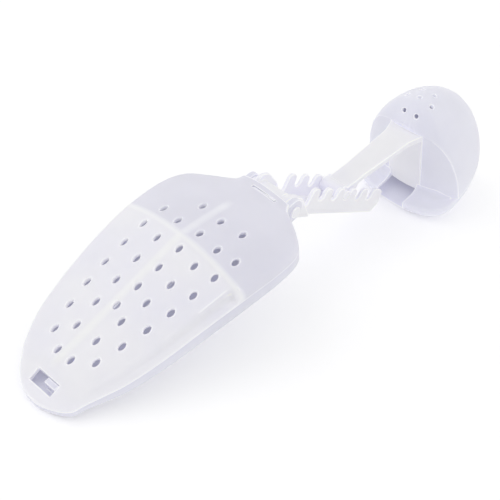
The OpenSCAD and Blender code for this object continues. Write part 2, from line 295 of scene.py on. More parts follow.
def maths(tree, operation, first, second=None, third=None, clamp=False):
    """A Math node; each operand is a number or an output socket."""
    made = node(tree, "ShaderNodeMath", operation=operation, use_clamp=clamp)
    for slot, value in enumerate((first, second, third)):
        if isinstance(value, (int, float)):
            made.inputs[slot].default_value = value
        elif value is not None:
            tree.links.new(value, made.inputs[slot])
    return made.outputs[0]


def tinted(tree, mode, factor, first, second):
    """A colour Mix node; factor is a number or a socket, and so is each colour."""
    made = node(tree, "ShaderNodeMix", data_type="RGBA", blend_type=mode)
    for slot, value in ((0, factor), (6, first), (7, second)):
        if hasattr(value, "is_output"):
            tree.links.new(value, made.inputs[slot])
        else:
            made.inputs[slot].default_value = value
    return made.outputs[2]


def moulded_grain_group():
    """Frosting of a moulded surface: slow cloudiness in the colour and a fine even grain."""
    if "Moulded Grain" in bpy.data.node_groups:
        return bpy.data.node_groups["Moulded Grain"]
    group, source, sink = shader_group(
        "Moulded Grain",
        [("Colour", "NodeSocketColor", (0.8, 0.8, 0.82, 1)), ("Cloud Size", "NodeSocketFloat", 60.0),
         ("Cloudiness", "NodeSocketFloat", 0.06), ("Grain Size", "NodeSocketFloat", 2500.0),
         ("Roughness", "NodeSocketFloat", 0.4)],
        [("Colour", "NodeSocketColor"), ("Roughness", "NodeSocketFloat"), ("Height", "NodeSocketFloat")])
    place = node(group, "ShaderNodeTexCoord").outputs["Object"]
    cloud = node(group, "ShaderNodeTexNoise", Detail=3.0)
    grain = node(group, "ShaderNodeTexNoise", Detail=2.0)
    for texture, scale in ((cloud, "Cloud Size"), (grain, "Grain Size")):
        group.links.new(place, texture.inputs["Vector"])
        group.links.new(source.outputs[scale], texture.inputs["Scale"])
    thin = maths(group, "SUBTRACT", 0.6, cloud.outputs["Fac"])
    depth = maths(group, "MULTIPLY", thin, source.outputs["Cloudiness"])
    shade = maths(group, "SUBTRACT", 1.0, maths(group, "MULTIPLY", depth, 2.5, clamp=True))
    group.links.new(tinted(group, "MULTIPLY", 1.0, source.outputs["Colour"], shade), sink.inputs["Colour"])
    uneven = maths(group, "MULTIPLY_ADD", grain.outputs["Fac"], 0.1, -0.05)
    group.links.new(maths(group, "ADD", uneven, source.outputs["Roughness"]), sink.inputs["Roughness"])
    group.links.new(grain.outputs["Fac"], sink.inputs["Height"])
    return group


def painted_edge_highlight_group():
    """Painted highlight on edges: the colour turns paler where the surface bends within a small radius, as if
    the edges caught the light.
    """
    if "Painted Edge Highlight" in bpy.data.node_groups:
        return bpy.data.node_groups["Painted Edge Highlight"]
    group, source, sink = shader_group(
        "Painted Edge Highlight",
        [("Colour", "NodeSocketColor", (0.8, 0.8, 0.82, 1)),
         ("Highlight Colour", "NodeSocketColor", (0.97, 0.97, 1, 1)),
         ("Radius", "NodeSocketFloat", 0.0009), ("Strength", "NodeSocketFloat", 0.8)],
        [("Colour", "NodeSocketColor"), ("Edge", "NodeSocketFloat")])
    bevel = node(group, "ShaderNodeBevel", samples=4)
    group.links.new(source.outputs["Radius"], bevel.inputs["Radius"])
    true = node(group, "ShaderNodeNewGeometry")
    dot = node(group, "ShaderNodeVectorMath", operation="DOT_PRODUCT")
    group.links.new(bevel.outputs[0], dot.inputs[0])
    group.links.new(true.outputs["Normal"], dot.inputs[1])
    # painted highlight: the mask grows where the bevelled normal turns from the true one, and the colour is
    # mixed towards the pale highlight colour
    bend = maths(group, "MULTIPLY", maths(group, "SUBTRACT", 1.0, dot.outputs["Value"]), 10.0, clamp=True)
    mask = maths(group, "MULTIPLY", bend, source.outputs["Strength"], clamp=True)
    group.links.new(tinted(group, "MIX", mask, source.outputs["Colour"], source.outputs["Highlight Colour"]),
                    sink.inputs["Colour"])
    group.links.new(mask, sink.inputs["Edge"])
    return group


def painted_glow_group():
    """Painted glow, an emission that stands in for light passing through thin walls: faint in the open,
    stronger where the piece is shut in.
    """
    if "Painted Glow" in bpy.data.node_groups:
        return bpy.data.node_groups["Painted Glow"]
    group, source, sink = shader_group(
        "Painted Glow",
        [("Colour", "NodeSocketColor", (0.8, 0.8, 0.82, 1)), ("Reach", "NodeSocketFloat", 0.03),
         ("Amount", "NodeSocketFloat", 0.5), ("Edge", "NodeSocketFloat", 0.0),
         ("Edge Amount", "NodeSocketFloat", 0.12)],
        [("Glow", "NodeSocketColor")])
    # painted glow: the emission grows as ambient occlusion closes in
    shut = node(group, "ShaderNodeAmbientOcclusion", samples=4)
    group.links.new(source.outputs["Reach"], shut.inputs["Distance"])
    dark = maths(group, "SUBTRACT", 1.0, shut.outputs["AO"], clamp=True)
    inner = maths(group, "MULTIPLY", dark, source.outputs["Amount"])
    # painted glow along the edges, where the painted edge highlight lies
    rim = maths(group, "MULTIPLY", source.outputs["Edge"], source.outputs["Edge Amount"])
    group.links.new(tinted(group, "MULTIPLY", 1.0, source.outputs["Colour"], maths(group, "ADD", inner, rim)),
                    sink.inputs["Glow"])
    return group


def painted_rib_light_and_shade_group():
    """Painted light and shade on the frosted top: pale lines painted over the ribs beneath it, and painted
    shade on the part behind the cross rib.
    """
    if "Painted Rib Light And Shade" in bpy.data.node_groups:
        return bpy.data.node_groups["Painted Rib Light And Shade"]
    group, source, sink = shader_group(
        "Painted Rib Light And Shade",
        [("Colour", "NodeSocketColor", (0.8, 0.8, 0.82, 1)), ("Place", "NodeSocketVector", None),
         ("Ridge", "NodeSocketFloat", 2.8), ("Cross", "NodeSocketFloat", CROSS_RIB_X),
         ("Rear Shade", "NodeSocketFloat", 0.1), ("Line", "NodeSocketFloat", 0.5)],
        [("Colour", "NodeSocketColor")])
    apart = node(group, "ShaderNodeSeparateXYZ")
    group.links.new(source.outputs["Place"], apart.inputs[0])
    x, y, z = apart.outputs
    cross = maths(group, "SUBTRACT", maths(group, "SUBTRACT", x, source.outputs["Cross"]),
                  maths(group, "MULTIPLY", y, CROSS_RIB_SLANT))
    ridge = maths(group, "SUBTRACT", y, source.outputs["Ridge"])

    def line(distance, half):
        near = maths(group, "DIVIDE", maths(group, "ABSOLUTE", distance), half)
        return maths(group, "SUBTRACT", 1.0, maths(group, "MULTIPLY", near, near), clamp=True)
    front = maths(group, "MULTIPLY_ADD", maths(group, "SUBTRACT", x, 12.0), 0.2, 0.0, clamp=True)
    rear = maths(group, "MULTIPLY_ADD", maths(group, "SUBTRACT", 112.0, x), 0.2, 0.0, clamp=True)
    along_line = maths(group, "MULTIPLY", maths(group, "MULTIPLY", line(ridge, 2.2), front), rear)
    both = maths(group, "MAXIMUM", line(cross, 1.7), along_line)
    # painted shade: the part behind the cross rib is made darker by the Rear Shade share
    behind = maths(group, "MULTIPLY_ADD", cross, 0.8, 0.5, clamp=True)
    dark = maths(group, "SUBTRACT", 1.0, maths(group, "MULTIPLY", behind, source.outputs["Rear Shade"]))
    shaded = tinted(group, "MULTIPLY", 1.0, source.outputs["Colour"], dark)
    # painted light: the lines over the ribs are mixed towards a pale colour
    mask = maths(group, "MULTIPLY", both, source.outputs["Line"])
    group.links.new(tinted(group, "MIX", mask, shaded, (0.945, 0.95, 1, 1)), sink.inputs["Colour"])
    return group


def frosted(name, colour, roughness=0.42, cloudiness=0.05, cloud_size=45.0, bump=0.04, depth=0.0008, edge=1.0,
            glow=0.1, ribs=False):
    """Frosted translucent plastic, with painted light: an emitted glow that stands in for light soaking into
    it, and painted highlights that make its edges paler than its faces.
    """
    if name in bpy.data.materials:
        return bpy.data.materials[name]
    material = bpy.data.materials.new(name)
    material.use_nodes = True
    tree = material.node_tree
    links = tree.links
    shader = tree.nodes["Principled BSDF"]
    grain = node(tree, "ShaderNodeGroup", node_tree=moulded_grain_group())
    grain.inputs["Colour"].default_value = (*colour, 1)
    grain.inputs["Cloud Size"].default_value = cloud_size
    grain.inputs["Cloudiness"].default_value = cloudiness
    grain.inputs["Roughness"].default_value = roughness
    tone = grain.outputs["Colour"]
    # painted light and shade of the top: pale lines over the ribs and shade behind the cross rib
    if ribs:
        seen = node(tree, "ShaderNodeGroup", node_tree=painted_rib_light_and_shade_group())
        place = node(tree, "ShaderNodeMapping")
        back = stood().inverted()
        place.inputs["Scale"].default_value = (1000, 1000, 1000)
        place.inputs["Rotation"].default_value = (0, math.radians(REST_PITCH), 0)
        place.inputs["Location"].default_value = back.translation
        links.new(node(tree, "ShaderNodeTexCoord").outputs["Object"], place.inputs["Vector"])
        links.new(place.outputs[0], seen.inputs["Place"])
        links.new(tone, seen.inputs["Colour"])
        tone = seen.outputs["Colour"]
    # painted highlight on the edges, mixed into the base colour
    rim = node(tree, "ShaderNodeGroup", node_tree=painted_edge_highlight_group())
    rim.inputs["Strength"].default_value = edge
    links.new(tone, rim.inputs["Colour"])
    links.new(rim.outputs["Colour"], shader.inputs["Base Color"])
    # painted glow, sent out as emission, with more on the painted edge highlights
    soaked = node(tree, "ShaderNodeGroup", node_tree=painted_glow_group())
    soaked.inputs["Amount"].default_value = glow
    links.new(rim.outputs["Colour"], soaked.inputs["Colour"])
    links.new(rim.outputs["Edge"], soaked.inputs["Edge"])
    links.new(soaked.outputs["Glow"], shader.inputs["Emission Color"])
    shader.inputs["Emission Strength"].default_value = 1.0
    texture = node(tree, "ShaderNodeBump", Strength=bump, Distance=0.0002)
    links.new(grain.outputs["Roughness"], shader.inputs["Roughness"])
    links.new(grain.outputs["Height"], texture.inputs["Height"])
    links.new(texture.outputs["Normal"], shader.inputs["Normal"])
    shader.inputs["IOR"].default_value = 1.49
    shader.inputs["Subsurface Weight"].default_value = 1.0
    shader.inputs["Subsurface Radius"].default_value = (1.0, 1.0, 1.0)
    shader.inputs["Subsurface Scale"].default_value = depth
    return material


def dress(obj, body, material, *nodes):
    """Gives a finished piece its material, its body and the CAD nodes it stands for."""
    obj.data.materials.clear()
    obj.data.materials.append(material)
    for polygon in obj.data.polygons:
        polygon.material_index = 0
    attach(obj, body)
    if nodes:
        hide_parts(*nodes)
    return obj


# Forefoot surfaces

def outline_y(share, side, size):
    column = 1 if side > 0 else 2
    return side * size.width * along(share, column) * toe_share(share, size.length, size.toe_round)


def section(share, size, inset=0.0):
    """Half widths, side height and crest height at one station, drawn in by a wall thickness."""
    left = max(outline_y(share, 1, size) - inset, 0.2)
    right = min(outline_y(share, -1, size) + inset, -0.2)
    side = size.crest * along(share, 3, False)
    crest = size.crest * (0.5 * along(share, 4) + 0.5 * along(share, 4, False))
    return left, right, side, crest


def ridge_line(share, size):
    return size.ridge * toe_share(share, size.length, size.toe_round)


def crown(share, y, size, inset=0.0):
    """Height of the top shell over one point of the plan."""
    left, right, side, crest = section(share, size, inset)
    mid = ridge_line(share, size)
    u = (y - mid) / (left - mid) if y > mid else (mid - y) / (mid - right)
    u = min(max(u, 0), 1)
    power = size.crown_left
    if y <= mid:
        side, power = side * size.right_side, size.crown_right
    return side - inset + (crest - side) * (1 - u ** power)


class ShellSize(bpy.types.PropertyGroup):
    """Sizes of the forefoot's two shells."""
    length: FloatProperty(name="Length", description="Length of the forefoot, mm", default=128.5)
    width: FloatProperty(name="Width", description="Width that the stations are shares of, mm", default=69.0)
    crest: FloatProperty(name="Crest", description="Height of the instep above the seam, mm", default=14.4)
    depth: FloatProperty(name="Depth", description="Depth of the sole below the seam, mm", default=7.6)
    wall: FloatProperty(name="Wall", description="Thickness of the shells, mm", default=1.5)
    ridge: FloatProperty(name="Ridge", description="Place of the long ridge off the middle, mm", default=2.8)
    toe_round: FloatProperty(name="Toe round", description="Length over which the toe closes, mm",
                             default=9.0)
    crown_left: FloatProperty(name="Left crown", description="How full the crown is on the left", default=2.4)
    crown_right: FloatProperty(name="Right crown", description="How full the crown is on the right",
                               default=2.0)
    right_side: FloatProperty(name="Right side", description="Share of the side height on the right",
                              default=0.65)
    vent_length: FloatProperty(name="Vent length", description="Length of an oval vent, mm", default=3.6)
    vent_width: FloatProperty(name="Vent width", description="Width of an oval vent, mm", default=2.2)


class PlasticLook(bpy.types.PropertyGroup):
    """Colours of the frosted plastic."""
    shell: FloatVectorProperty(name="Shells", description="Colour of the forefoot", subtype="COLOR",
                               default=(0.885, 0.88, 0.965))
    # the sole is given a darker colour than the top shell: painted shade for its strip under the top shell's
    # lip
    sole: FloatVectorProperty(name="Sole", description="Colour of the sole shell", subtype="COLOR",
                              default=(0.80, 0.80, 0.88))
    heel: FloatVectorProperty(name="Heel", description="Colour of the heel", subtype="COLOR",
                              default=(0.83, 0.83, 0.915))
    rack: FloatVectorProperty(name="Rack", description="Colour of the rack and the arm", subtype="COLOR",
                              default=(0.905, 0.90, 0.99))
    roughness: FloatProperty(name="Roughness", description="Roughness of the frosting", default=0.4)


def across_steps(fine=26):
    """Places across half a section, from the rim to the ridge, as shares, close together at the rim."""
    return [(k / fine) ** 1.7 for k in range(fine + 1)]


def edge_distance_height(share, y, d, side, size, inset):
    """Height of the top shell at a distance d in from its rim, with rib, band and rounded shoulder."""
    z = crown(share, y, size)
    left, right, wall, crest = section(share, size)
    tent = 1 - min(abs(y - ridge_line(share, size)) / max(left, -right), 1)
    z += 0.05 * crest * tent
    x = share * size.length
    if side < 0:
        wall *= size.right_side
    rim = min(1.5, 0.75 * wall)
    z -= rim * (1 - math.sqrt(max(1 - (1 - min(d / 1.6, 1)) ** 2, 0)))
    if side < 0:
        front = smoothstep(2, 10, x) * (1 - smoothstep(79, 82.5, x))
        band = 0.5 + 0.5 * min(d, 3.2) + (z - 0.5 - 1.6) * smoothstep(2.8, 4.3, d)
        if d < 0.35:
            band -= 0.25 * (1 - d / 0.35) ** 2
        z += (min(band, z) - z) * front * smoothstep(0.9, 1.6, wall)
    cross = CROSS_RIB_X + CROSS_RIB_SLANT * y
    z += 0.45 * math.exp(-((x - cross) / 1.1) ** 2) * smoothstep(0.2, 2.5, d)
    keel = smoothstep(11, 16, x) * (1 - smoothstep(103, 110, x))
    z += 0.35 * keel * math.exp(-((y - ridge_line(share, size)) / 1.3) ** 2)
    return z - inset


def top_ring(share, size, inset, base):
    """Closed section of the top shell, from the left rim over the crown to the right one."""
    left, right, _, _ = section(share, size, inset)
    mid = min(max(ridge_line(share, size), right * 0.5), left * 0.5)
    ring = [(left, base)]
    steps = across_steps()
    for t in steps:
        y = left + (mid - left) * t
        ring.append((y, edge_distance_height(share, y, left + inset - y, 1, size, inset)))
    for t in reversed(steps[:-1]):
        y = right + (mid - right) * t
        ring.append((y, edge_distance_height(share, y, y - right + inset, -1, size, inset)))
    ring.append((right, base))
    return ring


def sole_ring(share, size, inset, base):
    """Closed section of the sole shell, from the left rim under the floor to the right one."""
    left, right, _, _ = section(share, size, inset)
    deep = size.depth * along(share, 5) - inset
    corner = min(2.2, 0.45 * left, -0.45 * right)
    ring = []
    lip = 0.35 if inset == 0 else 0.0
    first, second = (0.9, 1.4) if lip else (0.3, 0.6)
    arc = [(lip, base), (lip, base - first), (lip * 0.3, base - second)]
    for k in range(9):
        w = math.radians(90 * k / 8)
        arc.append((corner * (1 - math.cos(w)), -deep + corner * (1 - math.sin(w))))
    for dy, z in arc:
        ring.append((left - dy, z))
    flat = 10
    for k in range(1, flat):
        ring.append((left - corner + (right + corner - left + corner) * k / flat, -deep))
    for dy, z in reversed(arc):
        ring.append((right + dy, z))
    return ring


def row_shares(count, blunt=0.0008):
    return [blunt + (1 - blunt) * (k / count) ** 1.5 for k in range(count + 1)]


def forefoot_solid(name, ring_at, size, inset, base, rows, matrix):
    """A closed loft of sections along the forefoot."""
    verts = []
    shares = row_shares(rows)
    for share in shares:
        x = inset + (size.length - 2 * inset) * share
        verts += [(x, y, z) for y, z in ring_at(share, size, inset, base)]
    n = len(verts) // len(shares)
    faces = grid_faces(len(shares), n, closed=True)
    faces += [tuple(range(n)), tuple(range((len(shares) - 1) * n, len(shares) * n))]
    obj = mesh_object(name, verts, faces, matrix)
    bm = bmesh.new()
    bm.from_mesh(obj.data)
    bmesh.ops.triangulate(bm, faces=[f for f in bm.faces if len(f.verts) > 4])
    bm.to_mesh(obj.data)
    bm.free()
    return obj


# Vents

def vent_places(size):
    """Centres of the oval vents in plan, in five columns that fan out from the toe."""
    reach, spread = 103.0, 11.0

    def fan(x, power):
        return spread * (1 - ((reach - min(x, reach)) / reach) ** power)
    places = [(99.6 - 10.75 * i, -0.7) for i in range(6)]
    for side in (-1, 1):
        # the inner columns leave a wider gap over the cross rib
        places += [(x, side * fan(x, 2)) for x in (101 - 11.45 * i - (1.5 if i else 0) for i in range(8))]
        places += [(x, 1.92 * fan(x, 3) if side > 0 else -1.7 * fan(x, 3.6))
                   for x in (89.6 - 10.8 * i for i in range(7))]
    return [(x, min(5.2 - 0.072 * x, 2.5) + y) for x, y in places]


def surface(x, y, size):
    share = x / size.length
    left, right, _, _ = section(share, size)
    mid = ridge_line(share, size)
    side = 1 if y > mid else -1
    d = left - y if side > 0 else y - right
    return edge_distance_height(share, y, d, side, size, 0)


def vent_cutter(size):
    """An oval plug with a flared mouth, standing along Z at the origin, in metres."""
    levels = ((-4.0, 0.0), (-0.5, 0.0), (-0.1, 0.25), (0.12, 0.7), (0.5, 1.3))
    around = 20
    verts = []
    for z, grow in levels:
        r = size.vent_width / 2 + grow
        for k in range(around):
            w = 2 * math.pi * k / around
            long = (size.vent_length + 0.3) / 2 + grow
            verts.append((long * math.cos(w), r * math.sin(w) * (1 - 0.12 * math.cos(w) ** 2), z))
    faces = grid_faces(len(levels), around, closed=True)
    faces += [tuple(range(around)), tuple(range((len(levels) - 1) * around, len(levels) * around))]
    return mesh_object("vent_cutter", verts, faces, Matrix.Scale(MM, 4))


def round_cutter(radius, flare):
    levels = ((-6.0, 0.0), (-0.35, 0.0), (0.0, 0.3 * flare), (0.5, flare))
    around = 18
    verts = []
    for z, grow in levels:
        for k in range(around):
            w = 2 * math.pi * k / around
            verts.append(((radius + grow) * math.cos(w), (radius + grow) * math.sin(w), z))
    faces = grid_faces(len(levels), around, closed=True)
    faces += [tuple(range(around)), tuple(range((len(levels) - 1) * around, len(levels) * around))]
    return mesh_object("round_cutter", verts, faces, Matrix.Scale(MM, 4))


def scatter_tree():
    """Geometry nodes: a copy of one object on every point, leaned along the point's own normal."""
    if "Copies On Points" in bpy.data.node_groups:
        return bpy.data.node_groups["Copies On Points"]
    tree = bpy.data.node_groups.new("Copies On Points", "GeometryNodeTree")
    face = tree.interface
    face.new_socket(name="Geometry", in_out="INPUT", socket_type="NodeSocketGeometry")
    face.new_socket(name="Copied Object", in_out="INPUT", socket_type="NodeSocketObject")
    face.new_socket(name="Size", in_out="INPUT", socket_type="NodeSocketFloat").default_value = 1.0
    face.new_socket(name="Material", in_out="INPUT", socket_type="NodeSocketMaterial")
    face.new_socket(name="Geometry", in_out="OUTPUT", socket_type="NodeSocketGeometry")
    nodes, links = tree.nodes, tree.links
    source, sink = nodes.new("NodeGroupInput"), nodes.new("NodeGroupOutput")
    points = nodes.new("GeometryNodeMeshToPoints")
    lean = nodes.new("GeometryNodeInputNamedAttribute")
    lean.data_type = "FLOAT_VECTOR"
    lean.inputs["Name"].default_value = "lean"
    run = nodes.new("GeometryNodeInputNamedAttribute")
    run.data_type = "FLOAT_VECTOR"
    run.inputs["Name"].default_value = "run"
    upright = nodes.new("FunctionNodeAxesToRotation")
    upright.primary_axis = "Z"
    upright.secondary_axis = "X"
    info = nodes.new("GeometryNodeObjectInfo")
    copies = nodes.new("GeometryNodeInstanceOnPoints")
    real = nodes.new("GeometryNodeRealizeInstances")
    paint = nodes.new("GeometryNodeSetMaterial")
    links.new(source.outputs["Geometry"], points.inputs["Mesh"])
    links.new(points.outputs[0], copies.inputs["Points"])
    links.new(source.outputs["Copied Object"], info.inputs["Object"])
    links.new(info.outputs["Geometry"], copies.inputs["Instance"])
    links.new(lean.outputs["Attribute"], upright.inputs["Primary Axis"])
    links.new(run.outputs["Attribute"], upright.inputs["Secondary Axis"])
    links.new(upright.outputs[0], copies.inputs["Rotation"])
    links.new(source.outputs["Size"], copies.inputs["Scale"])
    links.new(copies.outputs[0], real.inputs[0])
    links.new(real.outputs[0], paint.inputs["Geometry"])
    links.new(source.outputs["Material"], paint.inputs["Material"])
    links.new(paint.outputs[0], sink.inputs[0])
    return tree


def copies_on(name, places, copied, material):
    """One mesh of copies of an object. places holds (point, normal, direction) in the row frame."""
    mesh = bpy.data.meshes.new(name)
    mesh.from_pydata([tuple(p) for p, _, _ in places], [], [])
    for label, index in (("lean", 1), ("run", 2)):
        layer = mesh.attributes.new(label, "FLOAT_VECTOR", "POINT")
        layer.data.foreach_set("vector", [c for place in places for c in place[index]])
    obj = bpy.data.objects.new(name, mesh)
    bpy.context.scene.collection.objects.link(obj)
    tree = scatter_tree()
    mod = obj.modifiers.new("copies", "NODES")
    mod.node_group = tree
    keys = {item.name: item.identifier for item in tree.interface.items_tree if item.in_out == "INPUT"}
    mod[keys["Copied Object"]] = copied
    mod[keys["Size"]] = 1.0
    mod[keys["Material"]] = material
    applied(obj)
    bpy.data.objects.remove(copied, do_unlink=True)
    return obj


def span(side, inner, outer):
    """The two ends in Y of something that lies between two distances from the middle."""
    return sorted((side * inner, side * outer))


def cross_rod(name, radius, y0, y1, matrix, sides=40, bevel=0.25):
    """A round pin along Y with rounded ends."""
    outline = [(radius * math.cos(2 * math.pi * k / sides), radius * math.sin(2 * math.pi * k / sides))
               for k in range(sides)]
    return slab(name, outline, y0, y1, matrix, bevel)


# Operators

class ShoeTreeOperator:
    bl_options = {"REGISTER", "UNDO"}

    def look(self):
        return bpy.context.scene.shoe_tree_look

    def shell(self):
        return bpy.context.scene.shoe_tree_shell


class SHOETREE_OT_top_shell(ShoeTreeOperator, bpy.types.Operator):
    """Top shell of the forefoot with its vents, toe window and rear slot"""
    bl_idname = "shoe_tree.top_shell"
    bl_label = "Top Shell"

    def execute(self, context):
        size, look = self.shell(), self.look()
        # the top shell takes the painted light over its ribs and the painted shade behind its cross rib
        material = frosted("Frosted shell", look.shell, look.roughness, ribs=True)
        stand = stood()
        shell = forefoot_solid("top_shell_skin", top_ring, size, 0.0, 0.0, 110, stand)
        inside = forefoot_solid("top_inside", top_ring, size, size.wall, -2.0, 60, stand)
        cut(shell, inside)
        turn = stand.to_3x3().normalized()
        places = []
        for x, y in vent_places(size):
            h = 0.6
            dx = (surface(x + h, y, size) - surface(x - h, y, size)) / (2 * h)
            dy = (surface(x, y + h, size) - surface(x, y - h, size)) / (2 * h)
            normal = turn @ Vector((-dx, -dy, 1)).normalized()
            places.append((stand @ Vector((x, y, surface(x, y, size))), normal, turn @ Vector((1, 0, dx))))
        cut(shell, copies_on("vents", places, vent_cutter(size), material))
        cut(shell, block("window", (5.0, -4.8, -1), (10.2, 7.2, 9), stand, 0))
        cut(shell, block("slot", (124.5, -8.0, -1), (125.7, 4.6, 12), stand, 0))
        cut(shell, block("neck", (124.6, -40, -1), (131, 40, 2.4), stand, 0))
        hinge = at_hinge()
        cut(shell, cross_rod("barrel_room", BARREL_ROOM, -CHEEK_IN, CHEEK_IN, hinge, bevel=0))
        dress(shell, "forefoot", material, "top_shell")
        return {"FINISHED"}


class SHOETREE_OT_sole_shell(ShoeTreeOperator, bpy.types.Operator):
    """Sole shell with its ribs, snap tongues and the cheeks of the hinge"""
    bl_idname = "shoe_tree.sole_shell"
    bl_label = "Sole Shell"

    def execute(self, context):
        size, look = self.shell(), self.look()
        # the sole's darker colour is painted shade for its strip under the lip
        material = frosted("Frosted sole", look.sole, look.roughness)
        stand = stood()
        shell = forefoot_solid("sole_shell_skin", sole_ring, size, 0.0, 0.0, 90, stand)
        inside = forefoot_solid("sole_inside", sole_ring, size, size.wall, 1.0, 60, stand)
        cut(inside, block("neck_fill", (119.6, -40, -12), (131, 40, 12), stand, 0))
        cut(shell, inside)
        cut(shell, block("neck_cut", (124.6, -40, -12), (131, 40, 3), stand, 0))
        crown_room = forefoot_solid("crown_room", top_ring, size, size.wall + 0.3, -6.0, 60, stand)
        for name, low, high in (("cross_rib", (82.3, -36, -6.0), (83.7, 38, 16)),
                                ("long_rib", (18, 2.1, -6.0), (118, 3.5, 16))):
            rib = block(name, low, high, stand, 0)
            room = crown_room.copy()
            room.data = crown_room.data.copy()
            context.scene.collection.objects.link(room)
            cut(rib, room, "INTERSECT")
            cut(shell, rib, "UNION")
        bpy.data.objects.remove(crown_room, do_unlink=True)
        cut(shell, block("toe_tongue", (7.6, -4.5, -3.2), (9.9, 1.5, 2.4), stand, 0.3), "UNION")
        cut(shell, block("tongue_foot", (122.5, -7.7, -4.5), (125.5, 4.3, 2.0), stand, 0.0), "UNION")
        cut(shell, block("rear_tongue", (124.7, -7.6, 1.0), (125.5, 4.2, 5.1), stand, 0.2), "UNION")
        hinge = at_hinge()
        corners = [(-12, -3.6), (-5.2, -5.2), (5.2, -5.2), (5.2, 5.2), (-4.2, 5.2), (-4.2, 2.4), (-12, 2.4)]
        cheek = rounded(corners, [0, 1.5, 5.19, 5.19, 2.6, 1.0, 0], 8)
        for side in (-1, 1):
            cut(shell, slab("cheek", cheek, *span(side, 10.55, 13.35), hinge, 0.4), "UNION")
        cut(shell, cross_rod("pin_bore", 2.05, -BORE_REACH, BORE_REACH, hinge, bevel=0))
        cut(shell, cross_rod("barrel_room", BARREL_ROOM, -CHEEK_IN, CHEEK_IN, hinge, bevel=0))
        dress(shell, "forefoot", material, "sole_shell")
        return {"FINISHED"}


class SHOETREE_OT_hinge_pin(ShoeTreeOperator, bpy.types.Operator):
    """Pin through the neck, with a head at each end"""
    bl_idname = "shoe_tree.hinge_pin"
    bl_label = "Hinge Pin"

    def execute(self, context):
        look = self.look()
        material = frosted("Frosted pin", look.rack, 0.3)
        hinge = at_hinge()
        pin = cross_rod("hinge_pin_rod", 2.0, -13.9, 13.9, hinge)
        for side in (-1, 1):
            y0, y1 = span(side, 13.4, 14.5)
            cut(pin, cross_rod("head", 2.6, y0 + 0.01, y1, hinge, bevel=0.35), "UNION")
        dress(pin, "forefoot", material, "hinge_pin")
        return {"FINISHED"}


def toothed_wall(lug):
    """Outline of one wall of the rack: lug or plain shoulder, valley, six teeth, rounded end."""
    points = [(-4.9, -4.9), (81.4, -4.9), (85.0, 0.6), (82.6, 7.3)]
    radii = [4.88, 2.6, 5.0, 3.2]
    for i in reversed(range(NOTCHES)):
        u = FIRST_NOTCH + NOTCH_PITCH * i
        points += [(u + 2.42, 7.75), (u + 2.42, 1.85), (u - 2.42, 1.85), (u - 2.42, 7.75)]
        radii += [2.9, 2.4, 2.4, 2.9]
    points += [(19.2, 7.75), (19.0, -1.1), (14.6, -1.1)]
    radii += [2.9, 2.3, 3.0]
    if lug:
        points += [(11.4, 3.4), (2.4, 7.85), (-3.6, 7.6)]
        radii += [3.0, 2.6, 2.8]
    else:
        points += [(9.0, 4.2), (-4.9, 4.9)]
        radii += [3.0, 4.88]
    return rounded(points, radii, 7)


class SHOETREE_OT_rack(ShoeTreeOperator, bpy.types.Operator):
    """Rack: a channel of two toothed walls and a floor, with an ear on each side of the hinge"""
    bl_idname = "shoe_tree.rack"
    bl_label = "Rack"

    def execute(self, context):
        look = self.look()
        material = frosted("Frosted rack", look.rack, look.roughness)
        place = stood() @ on_rack()
        rack = block("rack_channel", (1.0, -7.0, -4.9), (78.8, 7.0, -3.2), place, 0.3)
        ear = rounded([(-4.9, -4.9), (20.5, -4.9), (8.0, 4.4), (-4.9, 4.9)], [4.88, 0.8, 2.0, 4.88], 8)
        for side in (-1, 1):
            cut(rack, slab("wall", toothed_wall(side > 0), *span(side, 6.0, 7.8), place, 0.35), "UNION")
            cut(rack, slab("ear", ear, *span(side, 7.6, 10.2), place, 0.4), "UNION")
        cut(rack, cross_rod("barrel", 4.86, -6.5, 6.5, place, bevel=0), "UNION")
        cut(rack, cross_rod("bore", 2.06, -BORE_REACH, BORE_REACH, place, bevel=0))
        dress(rack, "rack", material, "rack")
        return {"FINISHED"}


def pin_place():
    u = FIRST_NOTCH + NOTCH_PITCH * (PIN_NOTCH - 1)
    return on_rack() @ Vector((u, 0, PIN_N))


class SHOETREE_OT_arm_pin(ShoeTreeOperator, bpy.types.Operator):
    """Pin across the arm, lying in a notch of the rack"""
    bl_idname = "shoe_tree.arm_pin"
    bl_label = "Arm Pin"

    def execute(self, context):
        look = self.look()
        material = frosted("Frosted pin", look.rack, 0.3)
        place = stood() @ Matrix.Translation(pin_place())
        pin = cross_rod("arm_pin_rod", 2.25, -7.8, 7.8, place, bevel=0.35)
        dress(pin, "cross_pin", material, "arm_pin")
        return {"FINISHED"}


